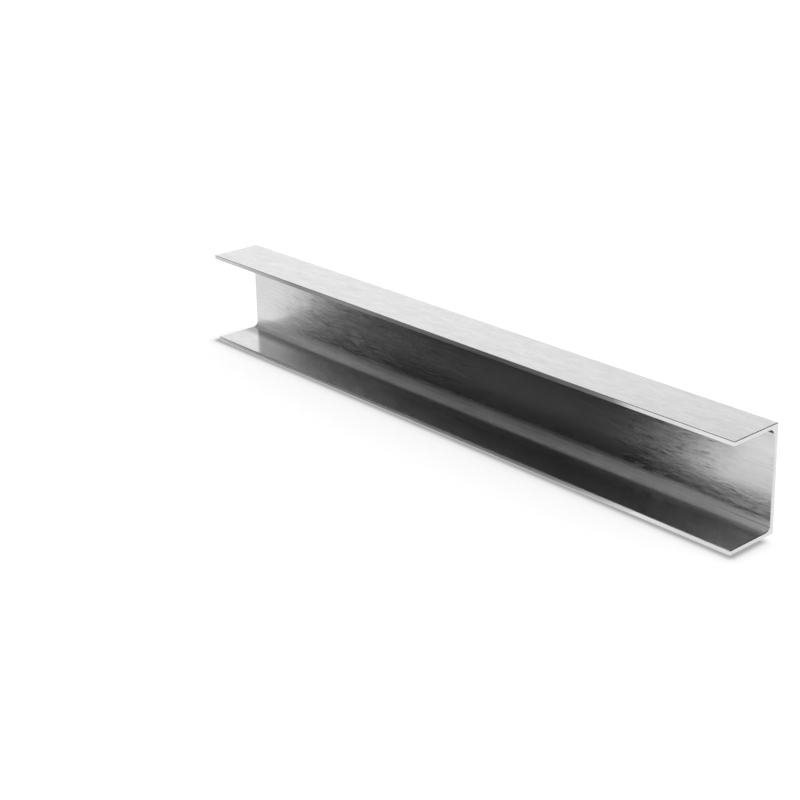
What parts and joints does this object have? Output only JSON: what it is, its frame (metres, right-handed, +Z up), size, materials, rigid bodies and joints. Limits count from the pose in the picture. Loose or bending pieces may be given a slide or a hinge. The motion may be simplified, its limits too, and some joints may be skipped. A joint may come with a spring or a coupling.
{
  "type": "metal channel section",
  "caption": "Straight aluminium channel bar with a thin web, two equal flanges, rounded inside corners and square-sawn ends.",
  "frame": {"origin": "under the middle of the lower flange, on the floor that the channel stands on", "axes": "+X along the length, +Y from the open side to the web's back, +Z up across the section's height"},
  "size_m": [0.5, 0.04, 0.07],
  "materials": {
    "mill_aluminium": "mill finish with fine extrusion lines along the length, brighter sawn ends"
  },
  "bodies": {
    "root": {"channel": "mill_aluminium"}
  },
  "joints": []
}
